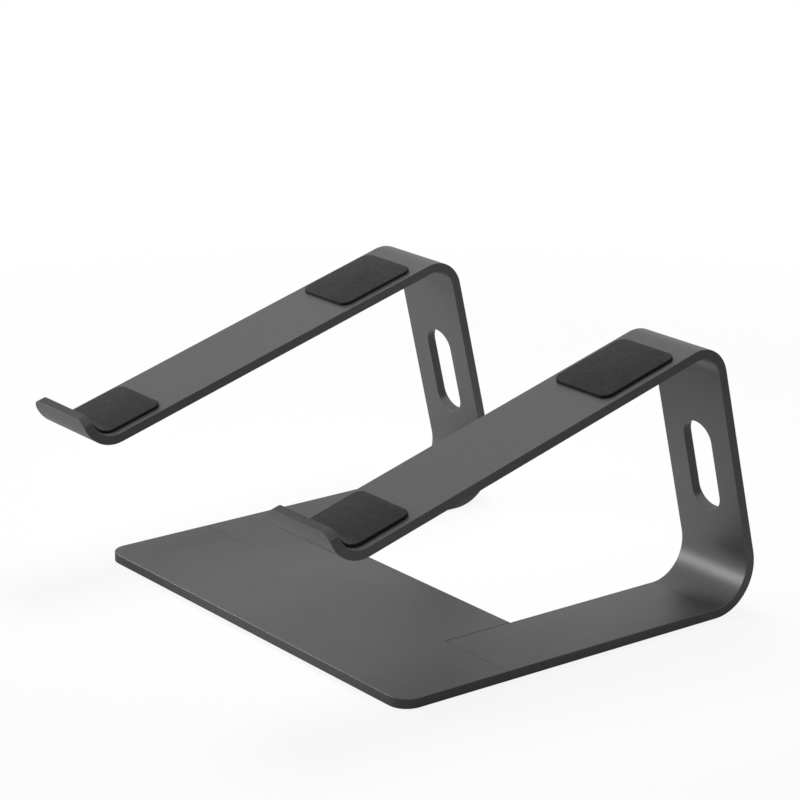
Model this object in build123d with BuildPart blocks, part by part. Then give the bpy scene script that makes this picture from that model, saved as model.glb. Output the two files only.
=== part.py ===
"""Laptop stand: two C-shaped legs of bent aluminium bar, tied by one front base plate.

Millimetres, +Z up, +Y to the back, +X to the right. The origin lies on the desk,
below the centre of the stand's outer box.
"""

import os
from math import cos, radians, sin, tan

from build123d import *

# Metal: one thickness of bar for the legs and the base plate
plate = 5.0
edge_break = 0.3

# Base
stand_width = 255.0
base_depth = 219.0  # front edge of the base plate to the back of the lower bend
front_plate_depth = 102.0
front_corner_radius = 10.0

# Leg: foot strip, lower bend, upright, upper bend, arm and front hook
leg_width = 47.5
lower_bend_radius = 19.5  # inside of the bend
upper_bend_radius = 12.0  # inside of the bend
hook_bend_radius = 13.0  # inside of the bend
upright_lean = 13.0  # degrees from upright, towards the front
arm_slope = 16.0  # degrees, rising to the back
hook_overhang = 35.0  # square outer corner of the hook, ahead of the base plate
hook_height = 74.8  # the same corner, above the underside of the base plate
lip_straight = 2.4  # flat end of the lip, past the hook's bend
lip_corner_radius = 5.0

# Cable slot in each upright
slot_length = 49.4
slot_width = 19.4
slot_above_bend = 19.1

# Half-lap joint of each leg with the base plate
lap_length = 40.0
lap_gap = 0.2
lap_tongue = 3.0  # thickness of the leg's tongue, on top

# Countersunk lap screws with a hexagon socket, put in from below
screw_radius = 1.5
screw_length = 4.0
screw_head_radius = 3.0
screw_spacing_x = 26.0
screw_spacing_y = 20.0
screw_clearance = 0.05
screw_hole_spare = 0.3  # depth of the blind holes beyond the screws' tips
socket_flats = 2.0
socket_depth = 1.1
tip_chamfer = 0.3

# Rubber: hook liners, rear arm pads and feet
adhesive = 0.1
rubber_edge = 0.4
pad_corner = 5.0  # corners of the arm pads and of the liners' ends on the arm
liner_thickness = 1.6
liner_side_margin = 4.0
liner_arm_length = 42.0  # along the arm, from the square inner corner of the hook
liner_lip_margin = 2.9  # bare metal above the liner
liner_lip_corner = 4.0
arm_pad_thickness = 1.6
arm_pad_length = 46.0
arm_pad_side_margin = 4.0
arm_pad_behind = 8.0  # start of the upper bend to the pad's rear end
foot_thickness = 2.2
foot_recess = 1.0
foot_length = 32.0
foot_width = 14.0
foot_fit = 0.1
front_foot_inset = 16.0  # centre of the front feet, behind the front edge
rear_foot_inset = 22.0  # centre of the rear feet, ahead of the lower bend


def along(start, direction, distance):
    """Point reached from start, both in the side view (y, z)."""
    return (start[0] + distance * direction[0], start[1] + distance * direction[1])


def cross(a, b):
    """Signed area spanned by two directions of the side view."""
    return a[0] * b[1] - a[1] * b[0]


# Directions in the side view
lean = radians(upright_lean)
slope = radians(arm_slope)
upright_up = (-sin(lean), cos(lean))
upright_back = (cos(lean), sin(lean))
arm_back = (cos(slope), sin(slope))
arm_up = (-sin(slope), cos(slope))

# Levels and places measured from the front edge of the base plate, at y = 0
underside = foot_thickness - foot_recess
deck = underside + plate
lap_level = deck - lap_tongue
tongue_front = front_plate_depth - lap_length
leg_inner_x = stand_width / 2 - leg_width
leg_centre_x = stand_width / 2 - leg_width / 2
bend_start_y = base_depth - lower_bend_radius - plate
lower_tangent = lower_bend_radius * tan((radians(90) + lean) / 2)
upper_turn = radians(90) + slope - lean
upper_tangent = upper_bend_radius * tan(upper_turn / 2)

# Square corners of the bar's inner line, the side that faces into the C
lower_corner = (bend_start_y + lower_tangent, deck)
hook_corner = (-hook_overhang, underside + hook_height)
to_hook = (hook_corner[0] - lower_corner[0], hook_corner[1] - lower_corner[1])
upright_length = cross(to_hook, arm_back) / cross(upright_up, arm_back)
upper_corner = along(lower_corner, upright_up, upright_length)
lip_tip = along(hook_corner, arm_up, plate + hook_bend_radius + lip_straight)

# The outer box runs from the lip's broken outer edge to the back of the lower bend
outer_front = lip_tip[0] + edge_break * (cos(slope) + sin(slope) - 1)
y_shift = -(outer_front + base_depth) / 2


def side_plane(x):
    """Side view at x: the sketch's own axes are the stand's Y and Z."""
    return Plane(origin=(x, y_shift, 0), x_dir=(0, 1, 0), z_dir=(1, 0, 0))


def on_bar(x, point, normal):
    """Plane on a flat face of the bar, its x axis along the stand's X."""
    return Plane(origin=(x, point[0] + y_shift, point[1]), x_dir=(1, 0, 0), z_dir=(0, *normal))


def finish(piece, name):
    piece.part.label = name
    export_step(piece.part, f"parts/{name}.step")


def hand_in_pair(right, name):
    """Write a right-hand piece and its mirror image on the left."""
    finish(right, f"right_{name}")
    with BuildPart() as left:
        mirror(right.part, about=Plane.YZ)
    finish(left, f"left_{name}")


os.makedirs("parts", exist_ok=True)

# Lap screw, its head's top at the origin
head_height = screw_head_radius - screw_radius
screw_profile = [
    (0, 0),
    (screw_head_radius, 0),
    (screw_radius, -head_height),
    (screw_radius, -screw_length + tip_chamfer),
    (screw_radius - tip_chamfer, -screw_length),
    (0, -screw_length),
]
with BuildPart() as screw:
    with BuildSketch(Plane.XZ):
        with BuildLine():
            Polyline(*screw_profile, close=True)
        make_face()
    revolve(axis=Axis.Z)
    with BuildSketch():
        RegularPolygon(radius=socket_flats / 2, side_count=6, major_radius=False)
    extrude(amount=-socket_depth, mode=Mode.SUBTRACT)

screw_y = tongue_front + lap_length / 2 + y_shift
from_below = (180, 0, 0)
right_screws_at = Location((leg_centre_x, screw_y, underside), from_below)
left_screws_at = Location((-leg_centre_x, screw_y, underside), from_below)
with BuildPart() as right_lap_screws:
    with Locations(right_screws_at):
        with GridLocations(screw_spacing_x, screw_spacing_y, 2, 2):
            add(screw.part)
hand_in_pair(right_lap_screws, "lap_screws")

# Base plate
front_foot_y = front_foot_inset + y_shift
with BuildPart() as base_plate:
    with BuildSketch(Plane((0, y_shift, underside))):
        Rectangle(stand_width, front_plate_depth, align=(Align.CENTER, Align.MIN))
        fillet(vertices().group_by(Axis.Y)[0], front_corner_radius)
    extrude(amount=plate)
    fillet(faces().filter_by(Axis.Z).edges(), edge_break)
    # Lap recesses under the legs' tongues
    with BuildSketch(Plane.XY.offset(lap_level)):
        with Locations(
            (leg_inner_x - lap_gap, tongue_front - lap_gap + y_shift),
            (-leg_inner_x + lap_gap - stand_width / 2, tongue_front - lap_gap + y_shift),
        ):
            Rectangle(stand_width / 2, 2 * lap_length, align=(Align.MIN, Align.MIN))
    extrude(amount=plate, mode=Mode.SUBTRACT)
    # Countersunk holes for the lap screws
    with Locations(right_screws_at, left_screws_at):
        with GridLocations(screw_spacing_x, screw_spacing_y, 2, 2):
            CounterSinkHole(
                screw_radius + screw_clearance,
                screw_head_radius + screw_clearance,
                depth=plate,
                counter_sink_angle=90,
            )
    # Recesses for the front feet
    with BuildSketch(Plane.XY.offset(underside)):
        with Locations((leg_centre_x, front_foot_y), (-leg_centre_x, front_foot_y)):
            SlotOverall(foot_length + 2 * foot_fit, foot_width + 2 * foot_fit)
    extrude(amount=foot_recess, mode=Mode.SUBTRACT)
finish(base_plate, "base_plate")

# Legs
rear_foot_y = bend_start_y - rear_foot_inset + y_shift
slot_centre = along(lower_corner, upright_up, lower_tangent + slot_above_bend + slot_length / 2)
with BuildPart() as right_leg:
    with BuildSketch(side_plane(leg_inner_x)):
        with BuildLine():
            FilletPolyline(
                (tongue_front, deck),
                lower_corner,
                upper_corner,
                hook_corner,
                lip_tip,
                radius=[lower_bend_radius, upper_bend_radius, hook_bend_radius + plate],
            )
            offset(amount=plate, side=Side.RIGHT)
        make_face()
    extrude(amount=leg_width)
    # Rounded corners of the lip, then broken edges along both sides of the bar
    lip_top = faces().sort_by(Axis((0, 0, 0), (0, *arm_up)))[-1]
    fillet(lip_top.edges().filter_by(Axis.X, reverse=True), lip_corner_radius)
    fillet(faces().filter_by(Axis.X).edges(), edge_break)
    # Tongue of the lap joint
    with BuildSketch(Plane.XY):
        with Locations((leg_centre_x, tongue_front + y_shift)):
            Rectangle(2 * leg_width, 2 * (lap_length + lap_gap))
    extrude(amount=lap_level, mode=Mode.SUBTRACT)
    # Blind threaded holes for the lap screws
    with Locations(right_screws_at):
        with GridLocations(screw_spacing_x, screw_spacing_y, 2, 2):
            Hole(screw_radius + screw_clearance, depth=screw_length + screw_hole_spare)
    # Cable slot
    with BuildSketch(on_bar(leg_centre_x, slot_centre, upright_back)):
        SlotOverall(slot_length, slot_width, rotation=90)
    extrude(amount=2 * plate, both=True, mode=Mode.SUBTRACT)
    through = Axis((0, 0, 0), (0, *upright_back))
    fillet(edges(Select.LAST).filter_by(through, reverse=True), edge_break)
    # Recess for the rear foot
    with BuildSketch(Plane.XY.offset(underside)):
        with Locations((leg_centre_x, rear_foot_y)):
            SlotOverall(foot_length + 2 * foot_fit, foot_width + 2 * foot_fit)
    extrude(amount=foot_recess, mode=Mode.SUBTRACT)
hand_in_pair(right_leg, "leg")

# Hook liners: strips of rubber that follow the inside of each hook
bar_top = plate + adhesive
liner_corner = along(along(hook_corner, arm_up, bar_top), arm_back, bar_top)
with BuildPart() as right_hook_liner:
    with BuildSketch(side_plane(leg_inner_x + liner_side_margin)):
        with BuildLine():
            FilletPolyline(
                along(liner_corner, arm_back, liner_arm_length),
                liner_corner,
                along(liner_corner, arm_up, hook_bend_radius + lip_straight),
                radius=hook_bend_radius - adhesive,
            )
            offset(amount=liner_thickness, side=Side.RIGHT)
        make_face()
    extrude(amount=leg_width - 2 * liner_side_margin)
    split(bisect_by=on_bar(0, along(lip_tip, arm_up, -liner_lip_margin), arm_up), keep=Keep.BOTTOM)
    upwards = Axis((0, 0, 0), (0, *arm_up))
    backwards = Axis((0, 0, 0), (0, *arm_back))
    fillet(edges().filter_by(upwards).sort_by(backwards)[-2:], pad_corner)
    fillet(edges().filter_by(backwards).sort_by(upwards)[-2:], liner_lip_corner)
    fillet(faces().filter_by(Axis.X).edges(), rubber_edge)
hand_in_pair(right_hook_liner, "hook_liner")

# Rear arm pads, just ahead of the upper bend
pad_rear = along(upper_corner, arm_back, -upper_tangent - arm_pad_behind)
pad_centre = along(along(pad_rear, arm_back, -arm_pad_length / 2), arm_up, bar_top)
with BuildPart() as right_arm_pad:
    with BuildSketch(on_bar(leg_centre_x, pad_centre, arm_up)):
        RectangleRounded(leg_width - 2 * arm_pad_side_margin, arm_pad_length, pad_corner)
    extrude(amount=arm_pad_thickness)
    fillet(faces().sort_by(Axis((0, 0, 0), (0, *arm_up)))[-1].edges(), rubber_edge)
hand_in_pair(right_arm_pad, "arm_pad")

# Feet, set into the recesses of the base plate and the legs
for place, foot_y in (("front", front_foot_y), ("rear", rear_foot_y)):
    with BuildPart() as right_foot:
        with BuildSketch():
            with Locations((leg_centre_x, foot_y)):
                SlotOverall(foot_length, foot_width)
        extrude(amount=foot_thickness)
        fillet(faces().sort_by(Axis.Z)[0].edges(), rubber_edge)
    hand_in_pair(right_foot, f"{place}_foot")
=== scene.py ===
"""Looks of a desk stand of bent, anodised aluminium bar with rubber pads and feet.

Metres, +Z up, +Y to the back, +X to the right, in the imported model's own frame.
"""

from math import atan2, cos, hypot, radians, sin, sqrt

import bmesh
import bpy
from bpy.props import FloatProperty, FloatVectorProperty, PointerProperty
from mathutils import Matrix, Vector


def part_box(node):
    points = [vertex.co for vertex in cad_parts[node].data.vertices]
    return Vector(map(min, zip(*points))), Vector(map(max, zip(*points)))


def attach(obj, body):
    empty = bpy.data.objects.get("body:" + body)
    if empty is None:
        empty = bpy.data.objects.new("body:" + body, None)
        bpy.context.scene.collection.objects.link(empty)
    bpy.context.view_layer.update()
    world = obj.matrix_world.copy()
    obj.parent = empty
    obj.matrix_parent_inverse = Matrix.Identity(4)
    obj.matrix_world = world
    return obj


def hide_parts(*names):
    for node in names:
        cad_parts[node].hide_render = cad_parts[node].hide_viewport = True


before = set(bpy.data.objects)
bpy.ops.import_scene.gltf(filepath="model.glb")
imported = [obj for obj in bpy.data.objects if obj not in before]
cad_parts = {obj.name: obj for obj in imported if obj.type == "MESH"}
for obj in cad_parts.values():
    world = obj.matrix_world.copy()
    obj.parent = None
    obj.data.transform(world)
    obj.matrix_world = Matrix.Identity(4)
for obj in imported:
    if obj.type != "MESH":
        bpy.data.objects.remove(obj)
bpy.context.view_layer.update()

bl_info = {
    "name": "Desk Stand Finish",
    "version": (1, 0, 0),
    "blender": (4, 5, 0),
    "location": "View3D > Sidebar > Stand",
    "description": "Finishes, rubber pieces and stage of a bent aluminium desk stand",
    "category": "Object",
}

BODY = "root"
METAL_NODES = ("base_plate", "left_leg", "right_leg")
SCREW_NODES = ("left_lap_screws", "right_lap_screws")
TINY = 0.000001
EDGE_STEPS = 4
CORNER_STEPS = 10
FOOT_STEPS = 16
SMOOTH_ANGLE = radians(40.0)
SHARP_ANGLE = radians(60.0)
METAL_DUST = (0.3, 0.29, 0.28, 1.0)
RUBBER_DUST = (0.16, 0.155, 0.15, 1.0)

# Ranges over which the masks of the cut faces blend: parts of a normal, and heights
SIDE_FACES = (0.8, 0.95)
LIP_ENDS = (0.4, 0.6)
LIP_CORNERS = (-0.0085, -0.0075)
STEEP_FACES = (0.2, 0.4)
PLATE_TOP = (0.0, 0.0005)


# Sizes and colours that a user would change

class StandMetalSettings(bpy.types.PropertyGroup):
    """Anodised aluminium of the legs and the base plate."""

    colour: FloatVectorProperty(
        name="Anodised colour",
        description="Colour of the dyed metal",
        subtype="COLOR",
        size=3,
        min=0.0,
        max=1.0,
        default=(0.132, 0.132, 0.1345),
    )
    roughness: FloatProperty(
        name="Satin roughness",
        description="How widely the blasted surface spreads a highlight",
        subtype="FACTOR",
        min=0.0,
        max=1.0,
        default=0.42,
    )
    grain: FloatProperty(
        name="Blast grain",
        description="Size of one dimple of the blasted surface",
        unit="LENGTH",
        default=0.00022,
    )
    arm_slope: FloatProperty(
        name="Arm slope",
        description="Rise of the arms to the back",
        unit="ROTATION",
        default=radians(16.0),
    )
    # Darker tone of the cut faces: partly their sawn finish, partly painted shade on the bar's
    # sides, the lips' ends and the plate's rim
    cut_finish_and_painted_shade: FloatProperty(
        name="Cut faces",
        description="Tone of the bar's cut faces, against its rolled faces",
        subtype="FACTOR",
        min=0.0,
        max=1.0,
        default=0.67,
    )
    screw_colour: FloatVectorProperty(
        name="Screw colour",
        description="Colour of the blackened steel screws",
        subtype="COLOR",
        size=3,
        min=0.0,
        max=1.0,
        default=(0.045, 0.045, 0.048),
    )


class StandRubberSettings(bpy.types.PropertyGroup):
    """Rubber of the hook liners, the arm pads and the feet."""

    colour: FloatVectorProperty(
        name="Rubber colour",
        description="Colour of the moulded rubber",
        subtype="COLOR",
        size=3,
        min=0.0,
        max=1.0,
        default=(0.008, 0.008, 0.0085),
    )
    thickness: FloatProperty(
        name="Pad thickness",
        description="Thickness of the hook liners and the arm pads",
        unit="LENGTH",
        default=0.0016,
    )
    adhesive: FloatProperty(
        name="Adhesive film",
        description="Thickness of the film that holds the liners and the arm pads",
        unit="LENGTH",
        default=0.0001,
    )
    edge: FloatProperty(
        name="Edge radius",
        description="Rounding of the moulded edges",
        unit="LENGTH",
        default=0.0004,
    )
    hook_radius: FloatProperty(
        name="Liner bend",
        description="Radius of the liner's face that is glued into the hook",
        unit="LENGTH",
        default=0.0129,
    )
    liner_straight: FloatProperty(
        name="Liner straight",
        description="Flat length of the liner along the arm",
        unit="LENGTH",
        default=0.0291,
    )
    liner_turn: FloatProperty(
        name="Liner turn",
        description="Angle of the liner's bend, from the arm to the lip",
        unit="ROTATION",
        default=radians(87.8),
    )
    liner_tip_corner: FloatProperty(
        name="Liner tip corner",
        description="Corner radius of the liners below the lip",
        unit="LENGTH",
        default=0.004,
    )
    pad_corner: FloatProperty(
        name="Pad corner",
        description="Corner radius of the arm pads and of the liners on the arm",
        unit="LENGTH",
        default=0.005,
    )
    foot_rim: FloatProperty(
        name="Foot rim",
        description="Width of the rim round the hollow of each foot",
        unit="LENGTH",
        default=0.0022,
    )
    foot_hollow: FloatProperty(
        name="Foot hollow",
        description="Depth of the hollow under each foot",
        unit="LENGTH",
        default=0.0004,
    )


class StandStageSettings(bpy.types.PropertyGroup):
    """Floor, light and camera."""

    floor_colour: FloatVectorProperty(
        name="Floor colour",
        description="Colour of the pale floor",
        subtype="COLOR",
        size=3,
        min=0.0,
        max=1.0,
        default=(0.9, 0.9, 0.9),
    )
    key_power: FloatProperty(
        name="Key light",
        description="Power of the softbox at the left front",
        unit="POWER",
        default=6.4,
    )
    overhead_power: FloatProperty(
        name="Overhead light",
        description="Power of the small lamp above that lights the floor",
        unit="POWER",
        default=3.4,
    )


# Shader node groups

def new_group(name, inputs, outputs):
    group = bpy.data.node_groups.new(name, "ShaderNodeTree")
    for label, kind, value in inputs:
        socket = group.interface.new_socket(label, in_out="INPUT", socket_type=kind)
        if value is not None:
            socket.default_value = value
    for label, kind in outputs:
        group.interface.new_socket(label, in_out="OUTPUT", socket_type=kind)
    source = group.nodes.new("NodeGroupInput")
    target = group.nodes.new("NodeGroupOutput")
    return group, source.outputs, target.inputs


def add_node(tree, kind, **values):
    """Node of a kind, with its own properties set."""
    node = tree.nodes.new(kind)
    for key, value in values.items():
        setattr(node, key, value)
    return node


def math_node(tree, operation, first, second=None):
    node = add_node(tree, "ShaderNodeMath", operation=operation)
    for socket, value in zip(node.inputs, (first, second)):
        if value is None:
            continue
        if hasattr(value, "links"):
            tree.links.new(value, socket)
        else:
            socket.default_value = value
    return node.outputs[0]


def dot_node(tree, first, second):
    node = add_node(tree, "ShaderNodeVectorMath", operation="DOT_PRODUCT")
    tree.links.new(first, node.inputs[0])
    tree.links.new(second, node.inputs[1])
    return node.outputs["Value"]


def map_range(tree, value, old, new=(0.0, 1.0)):
    """Value moved smoothly from one range to another."""
    node = add_node(tree, "ShaderNodeMapRange", interpolation_type="SMOOTHSTEP")
    tree.links.new(value, node.inputs["Value"])
    node.inputs["From Min"].default_value, node.inputs["From Max"].default_value = old
    node.inputs["To Min"].default_value, node.inputs["To Max"].default_value = new
    return node.outputs["Result"]


def noise(tree, vector, scale, detail):
    node = add_node(tree, "ShaderNodeTexNoise")
    tree.links.new(vector, node.inputs["Vector"])
    node.inputs["Detail"].default_value = detail
    if hasattr(scale, "links"):
        tree.links.new(scale, node.inputs["Scale"])
    else:
        node.inputs["Scale"].default_value = scale
    return node.outputs[0]


def mirrored_rays(tree, path):
    """One for a ray that has met something glossy or clear."""
    return math_node(tree, "MAXIMUM", path["Is Glossy Ray"], path["Is Transmission Ray"])


def fine_grain_group():
    """Dimples of a blasted or moulded surface: a height, and flecks that vary the gloss."""
    group, given, put = new_group(
        "Fine grain",
        (("Vector", "NodeSocketVector", None), ("Grain size", "NodeSocketFloat", 0.0002)),
        (("Height", "NodeSocketFloat"), ("Flecks", "NodeSocketFloat")),
    )
    scale = math_node(group, "DIVIDE", 1.0, given["Grain size"])
    dimples = noise(group, given["Vector"], scale, detail=1.0)
    group.links.new(dimples, put["Height"])
    flecks_per_dimple = 0.22
    wide = math_node(group, "MULTIPLY", scale, flecks_per_dimple)
    flecks = noise(group, given["Vector"], wide, detail=2.0)
    group.links.new(map_range(group, flecks, (0.3, 0.7)), put["Flecks"])
    return group


def handling_group():
    """Faint uneven patches, as a dyed or handled surface shows."""
    group, given, put = new_group(
        "Handling",
        (("Vector", "NodeSocketVector", None), ("Patch size", "NodeSocketFloat", 0.05)),
        (("Patches", "NodeSocketFloat"),),
    )
    scale = math_node(group, "DIVIDE", 1.0, given["Patch size"])
    patches = noise(group, given["Vector"], scale, detail=4.0)
    group.links.new(map_range(group, patches, (0.3, 0.7)), put["Patches"])
    return group


def edge_group():
    """Mask of the outer edges, broken up by a fine noise."""
    group, given, put = new_group(
        "Edge wear",
        (("Vector", "NodeSocketVector", None), ("Radius", "NodeSocketFloat", 0.001)),
        (("Edges", "NodeSocketFloat"),),
    )
    rounded = add_node(group, "ShaderNodeBevel", samples=6)
    group.links.new(given["Radius"], rounded.inputs["Radius"])
    true_normal = add_node(group, "ShaderNodeNewGeometry")
    facing = dot_node(group, rounded.outputs["Normal"], true_normal.outputs["Normal"])
    bare = map_range(group, facing, (0.8, 0.995), (1.0, 0.0))
    chips_per_metre = 900.0
    chips = noise(group, given["Vector"], chips_per_metre, detail=3.0)
    broken = map_range(group, chips, (0.35, 0.65), (0.3, 1.0))
    group.links.new(math_node(group, "MULTIPLY", bare, broken), put["Edges"])
    return group


def cut_face_group():
    """Mask of the cut faces: the bar's sides, the lips' ends and the rim of the base plate."""
    group, given, put = new_group(
        "Cut faces",
        (
            ("Vector", "NodeSocketVector", None),
            ("Lip direction", "NodeSocketVector", None),
            ("Lip level", "NodeSocketFloat", 0.0),
            ("Plate level", "NodeSocketFloat", 0.0),
        ),
        (("Cut", "NodeSocketFloat"),),
    )
    normal = add_node(group, "ShaderNodeNewGeometry").outputs["Normal"]
    parts = add_node(group, "ShaderNodeSeparateXYZ")
    group.links.new(normal, parts.inputs[0])
    sideways = math_node(group, "ABSOLUTE", parts.outputs["X"])
    sides = map_range(group, sideways, SIDE_FACES)
    facing = dot_node(group, normal, given["Lip direction"])
    ends = map_range(group, facing, LIP_ENDS)
    height = dot_node(group, given["Vector"], given["Lip direction"])
    height = math_node(group, "SUBTRACT", height, given["Lip level"])
    lip = map_range(group, height, LIP_CORNERS)
    ends = math_node(group, "MULTIPLY", ends, lip)
    level = math_node(group, "ABSOLUTE", parts.outputs["Z"])
    steep = map_range(group, level, STEEP_FACES, (1.0, 0.0))
    place = add_node(group, "ShaderNodeSeparateXYZ")
    group.links.new(given["Vector"], place.inputs[0])
    above_plate = math_node(group, "SUBTRACT", place.outputs["Z"], given["Plate level"])
    low_down = map_range(group, above_plate, PLATE_TOP, (1.0, 0.0))
    rim = math_node(group, "MULTIPLY", steep, low_down)
    cut = math_node(group, "MAXIMUM", math_node(group, "MAXIMUM", sides, ends), rim)
    group.links.new(cut, put["Cut"])
    return group


def dust_group():
    """Mask of the dust that settles on faces that look up."""
    group, given, put = new_group(
        "Settled dust",
        (("Vector", "NodeSocketVector", None), ("Amount", "NodeSocketFloat", 0.1)),
        (("Dust", "NodeSocketFloat"),),
    )
    surface = add_node(group, "ShaderNodeNewGeometry")
    parts = add_node(group, "ShaderNodeSeparateXYZ")
    group.links.new(surface.outputs["Normal"], parts.inputs[0])
    level = map_range(group, parts.outputs["Z"], (0.5, 1.0))
    specks_per_metre = 260.0
    specks = noise(group, given["Vector"], specks_per_metre, detail=6.0)
    specks = map_range(group, specks, (0.4, 0.75))
    dusty = math_node(group, "MULTIPLY", level, specks)
    group.links.new(math_node(group, "MULTIPLY", dusty, given["Amount"]), put["Dust"])
    return group


def shared_group(name, make):
    return bpy.data.node_groups.get(name) or make()


class Finish:
    """A material being put together: its tree, its shader and its Object coordinates."""

    def __init__(self, name):
        self.material = bpy.data.materials.new(name)
        self.material.use_nodes = True
        self.tree = self.material.node_tree
        self.shader = self.tree.nodes["Principled BSDF"]
        self.place = add_node(self.tree, "ShaderNodeTexCoord").outputs["Object"]

    def group(self, name, make, **values):
        node = add_node(self.tree, "ShaderNodeGroup", node_tree=shared_group(name, make))
        self.tree.links.new(self.place, node.inputs["Vector"])
        for label, value in values.items():
            node.inputs[label.replace("_", " ")].default_value = value
        return node.outputs

    def mix(self, amount, first, second):
        """Colour between two, by an amount that comes from another node."""
        node = add_node(self.tree, "ShaderNodeMix", data_type="RGBA")
        sockets = (node.inputs[0], node.inputs[6], node.inputs[7])
        for socket, value in zip(sockets, (amount, first, second)):
            if hasattr(value, "links"):
                self.tree.links.new(value, socket)
            else:
                socket.default_value = value
        return node.outputs[2]

    def worn(self, edges, colour, bare, amount):
        """Colour that is partly rubbed down to a bare tone along the edges."""
        share = math_node(self.tree, "MULTIPLY", edges["Edges"], amount)
        return self.mix(share, colour, bare)

    def bump(self, height, depth):
        node = add_node(self.tree, "ShaderNodeBump")
        node.inputs["Strength"].default_value = 1.0
        node.inputs["Distance"].default_value = depth
        self.tree.links.new(height, node.inputs["Height"])
        self.set("Normal", node.outputs["Normal"])

    def set(self, label, value):
        if hasattr(value, "links"):
            self.tree.links.new(value, self.shader.inputs[label])
        else:
            self.shader.inputs[label].default_value = value


def shades(colour, *factors):
    """Darker and lighter tones of a colour."""
    return [tuple(min(1.0, part * factor) for part in colour) + (1.0,) for factor in factors]


def lip_end(settings):
    """Direction in which the lips stand up, and the level of their ends along it."""
    up = Vector((0.0, -sin(settings.arm_slope), cos(settings.arm_slope)))
    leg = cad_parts["right_leg"]
    return up, max(vertex.co.dot(up) for vertex in leg.data.vertices)


def anodised_finish(settings):
    finish = Finish("dark_anodised_aluminium")
    grain = finish.group("Fine grain", fine_grain_group, Grain_size=settings.grain)
    handling = finish.group("Handling", handling_group, Patch_size=0.06)
    edges = finish.group("Edge wear", edge_group, Radius=0.0009)
    dust = finish.group("Settled dust", dust_group, Amount=0.05)
    up, lip_level = lip_end(settings)
    cut = finish.group(
        "Cut faces",
        cut_face_group,
        Lip_direction=up,
        Lip_level=lip_level,
        Plate_level=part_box("base_plate")[1].z,
    )["Cut"]
    dark, pale, fleck, bare = shades(settings.colour, 0.97, 1.03, 1.05, 1.6)
    # Cut faces made darker: partly a sawn finish, partly painted shade on the sides, the lip ends
    # and the plate rim
    (sawn_and_shaded,) = shades(settings.colour, settings.cut_finish_and_painted_shade)
    dyed = finish.mix(handling["Patches"], dark, pale)
    flecked = finish.mix(grain["Flecks"], dyed, fleck)
    cut_and_shaded_tone = finish.mix(cut, flecked, sawn_and_shaded)
    worn = finish.worn(edges, cut_and_shaded_tone, bare, amount=0.2)
    finish.set("Base Color", finish.mix(dust["Dust"], worn, METAL_DUST))
    spread, sawn_extra = 0.03, 0.16
    low, high = settings.roughness - spread, settings.roughness + spread
    rolled = map_range(finish.tree, handling["Patches"], (0.0, 1.0), (low, high))
    rougher = math_node(finish.tree, "MULTIPLY", cut, sawn_extra)
    finish.set("Roughness", math_node(finish.tree, "ADD", rolled, rougher))
    # The clear oxide layer scatters a little of the light
    finish.set("Metallic", 0.75)
    finish.set("Specular Tint", (0.62, 0.62, 0.62, 1.0))
    finish.bump(grain["Height"], depth=0.000004)
    return finish.material


def screw_finish(settings):
    finish = Finish("blackened_steel")
    grain = finish.group("Fine grain", fine_grain_group, Grain_size=0.00015)
    edges = finish.group("Edge wear", edge_group, Radius=0.0002)
    dark, pale, bare = shades(settings.screw_colour, 0.9, 1.15, 4.0)
    flecked = finish.mix(grain["Flecks"], dark, pale)
    finish.set("Base Color", finish.worn(edges, flecked, bare, amount=0.35))
    finish.set("Roughness", map_range(finish.tree, grain["Flecks"], (0.0, 1.0), (0.28, 0.36)))
    finish.set("Metallic", 1.0)
    finish.bump(grain["Height"], depth=0.000003)
    return finish.material


def rubber_finish(settings):
    made = bpy.data.materials.get("black_moulded_rubber")
    if made:
        return made
    finish = Finish("black_moulded_rubber")
    grain = finish.group("Fine grain", fine_grain_group, Grain_size=0.0003)
    handling = finish.group("Handling", handling_group, Patch_size=0.02)
    edges = finish.group("Edge wear", edge_group, Radius=0.0006)
    dust = finish.group("Settled dust", dust_group, Amount=0.04)
    dark, pale, bare = shades(settings.colour, 0.85, 1.25, 2.0)
    mottled = finish.mix(handling["Patches"], dark, pale)
    worn = finish.worn(edges, mottled, bare, amount=0.3)
    finish.set("Base Color", finish.mix(dust["Dust"], worn, RUBBER_DUST))
    finish.set("Roughness", map_range(finish.tree, grain["Flecks"], (0.0, 1.0), (0.55, 0.62)))
    finish.set("Specular IOR Level", 0.25)
    finish.bump(grain["Height"], depth=0.000008)
    return finish.material


# Modelling helpers

def start_piece(name, width, length):
    """Add a flat blank with nothing else selected, name it and open it in edit mode."""
    bpy.ops.object.select_all(action="DESELECT")
    bpy.ops.mesh.primitive_plane_add(size=1.0)
    piece = bpy.context.active_object
    piece.name = name
    piece.data.name = name
    bpy.ops.object.mode_set(mode="EDIT")
    bpy.ops.transform.resize(value=(width, length, 1.0))
    return piece


def pick(piece, kind, wanted):
    """Select the vertices, edges or faces of the piece that the test wants."""
    bpy.ops.mesh.select_mode(type={"verts": "VERT", "edges": "EDGE", "faces": "FACE"}[kind])
    bpy.ops.mesh.select_all(action="DESELECT")
    mesh = bmesh.from_edit_mesh(piece.data)
    for part in getattr(mesh, kind):
        if wanted(part):
            part.select_set(True)
    mesh.select_flush_mode()
    bmesh.update_edit_mesh(piece.data)


def extrude(offset):
    bpy.ops.mesh.extrude_region_move(TRANSFORM_OT_translate={"value": offset})


def merge_doubles():
    bpy.ops.mesh.select_all(action="SELECT")
    bpy.ops.mesh.remove_doubles(threshold=TINY)


def turn_outwards():
    bpy.ops.mesh.select_all(action="SELECT")
    bpy.ops.mesh.normals_make_consistent(inside=False)


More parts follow.
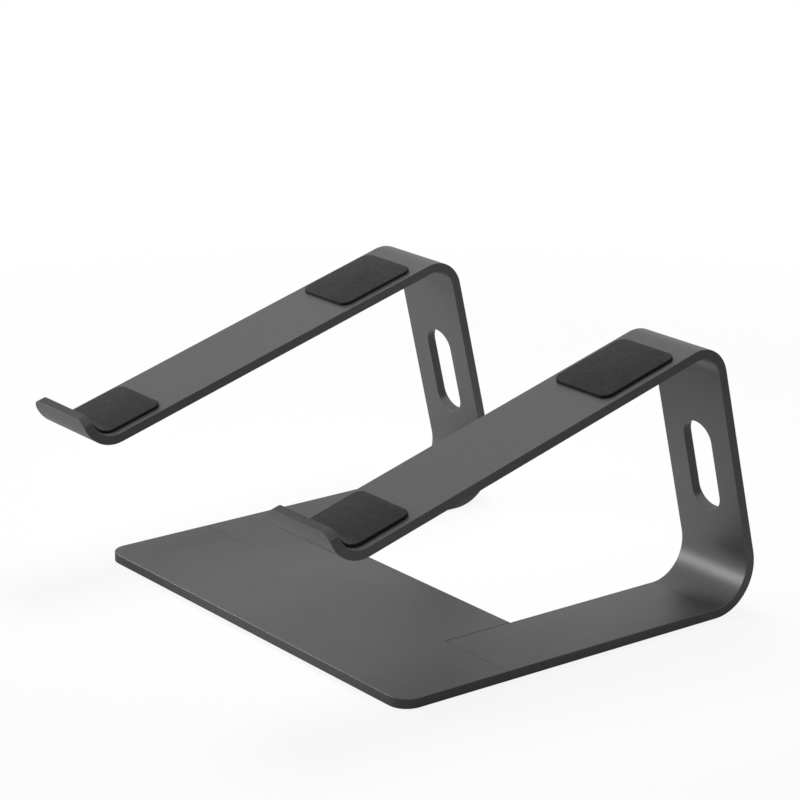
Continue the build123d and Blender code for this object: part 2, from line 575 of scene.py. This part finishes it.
def close_piece(piece, place, turn):
    """Leave edit mode, shade the piece and put its place into its mesh."""
    merge_doubles()
    turn_outwards()
    bpy.ops.object.mode_set(mode="OBJECT")
    piece.rotation_euler = (turn, 0.0, 0.0)
    piece.location = place
    bpy.ops.object.transform_apply(location=True, rotation=True, scale=True)
    bpy.ops.object.shade_smooth_by_angle(angle=SMOOTH_ANGLE)


def copy_to_left(piece, name):
    """Copy of a right-hand piece, moved to the same place on the left."""
    bpy.ops.object.select_all(action="DESELECT")
    piece.select_set(True)
    bpy.context.view_layer.objects.active = piece
    bpy.ops.object.duplicate(linked=False)
    copy = bpy.context.active_object
    copy.name = name
    copy.data.name = name
    middle = sum(corner[0] for corner in piece.bound_box) / len(piece.bound_box)
    copy.location.x = -2.0 * middle
    bpy.ops.object.transform_apply(location=True, rotation=True, scale=True)
    return copy


def hand_over(piece, node, material):
    """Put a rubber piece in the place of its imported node."""
    piece.data.materials.clear()
    piece.data.materials.append(material)
    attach(piece, BODY)
    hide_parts(node)


def hand_over_pair(right, kind, material):
    left = copy_to_left(right, f"left_{kind}_rubber")
    hand_over(right, f"right_{kind}", material)
    hand_over(left, f"left_{kind}", material)


def round_edges(piece, radius, wanted, steps=EDGE_STEPS):
    pick(piece, "edges", wanted)
    bpy.ops.mesh.bevel(offset=radius, segments=steps, affect="EDGES", profile=0.5)


def raise_outline(height):
    """Raise a flat outline on the floor into a closed block."""
    bpy.ops.mesh.select_all(action="SELECT")
    extrude((0.0, 0.0, height))
    turn_outwards()


def edge_angle(edge):
    return edge.calc_face_angle(0.0)


def above(part, level):
    return all(vert.co.z > level for vert in part.verts)


def below(part, level):
    return all(vert.co.z < level for vert in part.verts)


def cover(names, material):
    for name in names:
        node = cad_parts[name]
        for slot in node.material_slots:
            slot.material = material


# Operators

class STAND_OT_metal(bpy.types.Operator):
    """Give the legs and the base plate their anodised finish"""

    bl_idname = "stand.metal"
    bl_label = "Anodised metal"

    def execute(self, context):
        cover(METAL_NODES, anodised_finish(context.scene.stand_metal))
        return {"FINISHED"}


class STAND_OT_screws(bpy.types.Operator):
    """Give the lap screws their blackened finish"""

    bl_idname = "stand.screws"
    bl_label = "Lap screws"

    def execute(self, context):
        cover(SCREW_NODES, screw_finish(context.scene.stand_metal))
        return {"FINISHED"}


class STAND_OT_hook_liners(bpy.types.Operator):
    """Bend a strip of rubber into each hook"""

    bl_idname = "stand.hook_liners"
    bl_label = "Hook liners"

    # Rings of the bend
    steps = 48

    def execute(self, context):
        rubber = context.scene.stand_rubber
        slope = context.scene.stand_metal.arm_slope
        low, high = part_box("right_hook_liner")
        width = high.x - low.x
        straight = rubber.liner_straight
        piece = start_piece("right_hook_liner_rubber", width, rubber.thickness)
        bpy.ops.transform.rotate(value=radians(90), orient_axis="X", center_override=(0, 0, 0))
        middle = rubber.hook_radius - rubber.thickness / 2
        bpy.ops.transform.translate(value=(0.0, straight, -middle))
        extrude((0.0, -straight, 0.0))
        bpy.ops.mesh.spin(
            steps=self.steps, angle=rubber.liner_turn, center=(0, 0, 0), axis=(1, 0, 0)
        )
        merge_doubles()
        turn_outwards()
        round_edges(
            piece,
            rubber.pad_corner,
            lambda edge: self.is_arm_corner(edge, straight),
            CORNER_STEPS,
        )
        self.round_tip(piece, rubber, middle, width / 2)
        round_edges(piece, rubber.edge, lambda edge: edge_angle(edge) > SHARP_ANGLE)
        glued = rubber.hook_radius - TINY
        pick(piece, "faces", lambda face: all(self.reach(vert) > glued for vert in face.verts))
        bpy.ops.mesh.extrude_region_shrink_fatten(
            TRANSFORM_OT_shrink_fatten={"value": rubber.adhesive}
        )
        close_piece(piece, self.bend_centre(low, high, rubber, slope), slope)
        hand_over_pair(piece, "hook_liner", rubber_finish(rubber))
        return {"FINISHED"}

    def is_arm_corner(self, edge, straight):
        first, second = (vert.co for vert in edge.verts)
        level = abs(first.x - second.x) < TINY
        return level and min(first.y, second.y) > straight - TINY

    def reach(self, vert):
        """Distance of a point of the strip from the bend's axis, or from its level on the arm."""
        return -vert.co.z if vert.co.y > 0.0 else hypot(vert.co.y, vert.co.z)

    def round_tip(self, piece, rubber, middle, half):
        """Draw in the rings below the lip, so that the strip's end has round corners."""
        ring = rubber.liner_turn / self.steps
        corner = rubber.liner_tip_corner
        for step in range(self.steps):
            left = step * ring * middle
            if left >= corner:
                break
            turn = rubber.liner_turn - step * ring
            pick(piece, "verts", lambda vert: abs(atan2(-vert.co.y, -vert.co.z) - turn) < ring / 4)
            drawn_in = corner - sqrt(corner**2 - (corner - left) ** 2)
            bpy.ops.transform.resize(value=(1.0 - drawn_in / half, 1.0, 1.0))

    def bend_centre(self, low, high, rubber, slope):
        """Centre of the hook's bend, from the liner's box and its rounded end on the arm."""
        along, up = cos(slope), sin(slope)
        end_y = high.y + rubber.edge * (along + up - 1.0)
        y = end_y - rubber.liner_straight * along - rubber.hook_radius * up
        return (low.x + high.x) / 2, y, low.z + rubber.hook_radius


class STAND_OT_arm_pads(bpy.types.Operator):
    """Lay a rubber pad on the back of each arm"""

    bl_idname = "stand.arm_pads"
    bl_label = "Arm pads"

    def execute(self, context):
        rubber = context.scene.stand_rubber
        slope = context.scene.stand_metal.arm_slope
        low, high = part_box("right_arm_pad")
        along, up = cos(slope), sin(slope)
        front_y = low.y - rubber.edge * (along + up - 1.0)
        length = (high.y - front_y - rubber.thickness * up) / along
        piece = start_piece("right_arm_pad_rubber", high.x - low.x, length)
        bpy.ops.mesh.bevel(offset=rubber.pad_corner, segments=CORNER_STEPS, affect="VERTICES")
        raise_outline(rubber.thickness)
        round_edges(piece, rubber.edge, lambda edge: above(edge, rubber.thickness - TINY))
        pick(piece, "faces", lambda face: below(face, TINY))
        bpy.ops.mesh.inset(thickness=rubber.edge)
        extrude((0.0, 0.0, -rubber.adhesive))
        place = ((low.x + high.x) / 2, high.y - length / 2 * along, low.z + length / 2 * up)
        close_piece(piece, place, slope)
        hand_over_pair(piece, "arm_pad", rubber_finish(rubber))
        return {"FINISHED"}


class STAND_OT_feet(bpy.types.Operator):
    """Set the four rubber feet into their recesses"""

    bl_idname = "stand.feet"
    bl_label = "Feet"

    def execute(self, context):
        rubber = context.scene.stand_rubber
        for kind in ("front_foot", "rear_foot"):
            low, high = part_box(f"right_{kind}")
            size = high - low
            piece = start_piece(f"right_{kind}_rubber", size.x, size.y)
            bpy.ops.mesh.bevel(offset=size.y / 2, segments=FOOT_STEPS, affect="VERTICES")
            merge_doubles()
            raise_outline(size.z)
            round_edges(piece, rubber.edge, lambda edge: below(edge, TINY))
            pick(piece, "faces", lambda face: below(face, TINY))
            bpy.ops.mesh.inset(thickness=rubber.foot_rim)
            bpy.ops.mesh.inset(thickness=rubber.foot_hollow, depth=-rubber.foot_hollow)
            close_piece(piece, ((low.x + high.x) / 2, (low.y + high.y) / 2, low.z), 0.0)
            hand_over_pair(piece, kind, rubber_finish(rubber))
        return {"FINISHED"}


class STAND_OT_stage(bpy.types.Operator):
    """Floor, soft lights, background and camera"""

    bl_idname = "stand.stage"
    bl_label = "Stage"

    # Place, aim and size of each lamp
    key_light = ((-0.89, -0.67, 0.40), (0.1, 0.1, 0.03), (0.6, 0.4))
    overhead_light = ((-0.08, 0.1, 0.6), (-0.08, 0.1, 0.0), (0.3, 0.3))
    ambient = 0.15
    # Mirrored room: ranges of direction, and the brightness at their ends
    left_to_right = ((-0.4, 0.5), (1.0, 0.35))
    up_the_walls = ((0.4, 0.7), (1.0, 0.7))
    ceiling_edge = (0.6, 0.8)
    ceiling_lean = 0.5
    floor_size = 12.0
    # Distance over which the floor turns plain white, and its share of white at both ends
    shadow_reach = (0.25, 0.8)
    floor_white = (0.9, 1.0)
    mirrored_white = 0.18
    camera_place = (1.10282, -0.82726, 0.52681)
    camera_aim = (0.07101, -0.04787, 0.12873)
    camera_lens = 130.78
    camera_sensor = 36.0

    def execute(self, context):
        stage = context.scene.stand_stage
        self.floor(stage)
        self.background(context.scene)
        self.softbox("key", *self.key_light, stage.key_power)
        overhead = self.softbox("overhead", *self.overhead_light, stage.overhead_power)
        overhead.visible_glossy = False
        self.camera(context.scene)
        context.scene.view_settings.view_transform = "Standard"
        return {"FINISHED"}

    def floor(self, stage):
        bpy.ops.object.select_all(action="DESELECT")
        bpy.ops.mesh.primitive_plane_add(size=self.floor_size, location=(0.0, 0.0, 0.0))
        floor = bpy.context.active_object
        floor.name = "floor"
        material = bpy.data.materials.new("pale_floor")
        material.use_nodes = True
        tree = material.node_tree
        shader = tree.nodes["Principled BSDF"]
        shader.inputs["Base Color"].default_value = (*stage.floor_colour, 1.0)
        shader.inputs["Roughness"].default_value = 0.9
        shader.inputs["Specular IOR Level"].default_value = 0.0
        glow = add_node(tree, "ShaderNodeEmission")
        mixed = add_node(tree, "ShaderNodeMixShader")
        path = add_node(tree, "ShaderNodeLightPath").outputs
        spot = add_node(tree, "ShaderNodeTexCoord").outputs["Object"]
        distance = add_node(tree, "ShaderNodeVectorMath", operation="LENGTH")
        tree.links.new(spot, distance.inputs[0])
        # Plain white away from the stand, and its shadow near it
        white = map_range(tree, distance.outputs["Value"], self.shadow_reach, self.floor_white)
        looked_at = math_node(tree, "MULTIPLY", path["Is Camera Ray"], white)
        mirrored = math_node(tree, "MULTIPLY", mirrored_rays(tree, path), self.mirrored_white)
        tree.links.new(math_node(tree, "MAXIMUM", looked_at, mirrored), mixed.inputs[0])
        tree.links.new(shader.outputs[0], mixed.inputs[1])
        tree.links.new(glow.outputs[0], mixed.inputs[2])
        tree.links.new(mixed.outputs[0], tree.nodes["Material Output"].inputs["Surface"])
        floor.data.materials.append(material)

    def background(self, scene):
        world = bpy.data.worlds.new("white_studio")
        world.use_nodes = True
        tree = world.node_tree
        shader = tree.nodes["Background"]
        shader.inputs["Color"].default_value = (1.0, 1.0, 1.0, 1.0)
        path = add_node(tree, "ShaderNodeLightPath").outputs
        direction = add_node(tree, "ShaderNodeSeparateXYZ")
        sight = add_node(tree, "ShaderNodeTexCoord").outputs["Generated"]
        tree.links.new(sight, direction.inputs[0])
        # A bright left wall that fades upwards, a grey right one, and a ceiling bright to the right
        side, height = direction.outputs["X"], direction.outputs["Z"]
        across = map_range(tree, side, *self.left_to_right)
        upwards = map_range(tree, height, *self.up_the_walls)
        walls = math_node(tree, "MULTIPLY", across, upwards)
        rightwards = math_node(tree, "MULTIPLY", side, self.ceiling_lean)
        right_and_up = math_node(tree, "ADD", height, rightwards)
        ceiling = map_range(tree, right_and_up, self.ceiling_edge)
        room = math_node(tree, "MAXIMUM", walls, ceiling)
        mirrored = math_node(tree, "MULTIPLY", mirrored_rays(tree, path), room)
        seen = math_node(tree, "MAXIMUM", path["Is Camera Ray"], mirrored)
        tree.links.new(math_node(tree, "MAXIMUM", seen, self.ambient), shader.inputs["Strength"])
        scene.world = world

    def softbox(self, name, place, aim, size, power):
        bpy.ops.object.light_add(type="AREA", location=place)
        lamp = bpy.context.active_object
        lamp.name = name
        lamp.data.shape = "RECTANGLE"
        lamp.data.size, lamp.data.size_y = size
        lamp.data.energy = power
        lamp.visible_camera = False
        self.point(lamp, place, aim)
        return lamp

    def point(self, thing, place, aim):
        direction = Vector(aim) - Vector(place)
        thing.rotation_euler = direction.to_track_quat("-Z", "Y").to_euler()

    def camera(self, scene):
        bpy.ops.object.camera_add(location=self.camera_place)
        camera = bpy.context.active_object
        camera.name = "camera"
        camera.data.sensor_fit = "HORIZONTAL"
        camera.data.sensor_width = self.camera_sensor
        camera.data.lens = self.camera_lens
        camera.data.clip_start = 0.01
        self.point(camera, self.camera_place, self.camera_aim)
        scene.camera = camera


class STAND_PT_panel(bpy.types.Panel):
    """Lists the pieces of the stand in the sidebar"""

    bl_idname = "STAND_PT_panel"
    bl_label = "Desk stand"
    bl_space_type = "VIEW_3D"
    bl_region_type = "UI"
    bl_category = "Stand"

    def draw(self, context):
        scene = context.scene
        for settings in (scene.stand_metal, scene.stand_rubber, scene.stand_stage):
            column = self.layout.column()
            for name in settings.__annotations__:
                column.prop(settings, name)
        for operator in OPERATORS:
            self.layout.operator(operator.bl_idname)


OPERATORS = (
    STAND_OT_metal,
    STAND_OT_screws,
    STAND_OT_hook_liners,
    STAND_OT_arm_pads,
    STAND_OT_feet,
    STAND_OT_stage,
)
SETTINGS = (StandMetalSettings, StandRubberSettings, StandStageSettings)
CLASSES = SETTINGS + OPERATORS + (STAND_PT_panel,)


def register():
    for kind in CLASSES:
        bpy.utils.register_class(kind)
    bpy.types.Scene.stand_metal = PointerProperty(type=StandMetalSettings)
    bpy.types.Scene.stand_rubber = PointerProperty(type=StandRubberSettings)
    bpy.types.Scene.stand_stage = PointerProperty(type=StandStageSettings)


def unregister():
    del bpy.types.Scene.stand_stage
    del bpy.types.Scene.stand_rubber
    del bpy.types.Scene.stand_metal
    for kind in reversed(CLASSES):
        bpy.utils.unregister_class(kind)


def main():
    register()
    bpy.ops.stand.metal()
    bpy.ops.stand.screws()
    bpy.ops.stand.hook_liners()
    bpy.ops.stand.arm_pads()
    bpy.ops.stand.feet()
    bpy.ops.stand.stage()


if __name__ == "__main__":
    main()
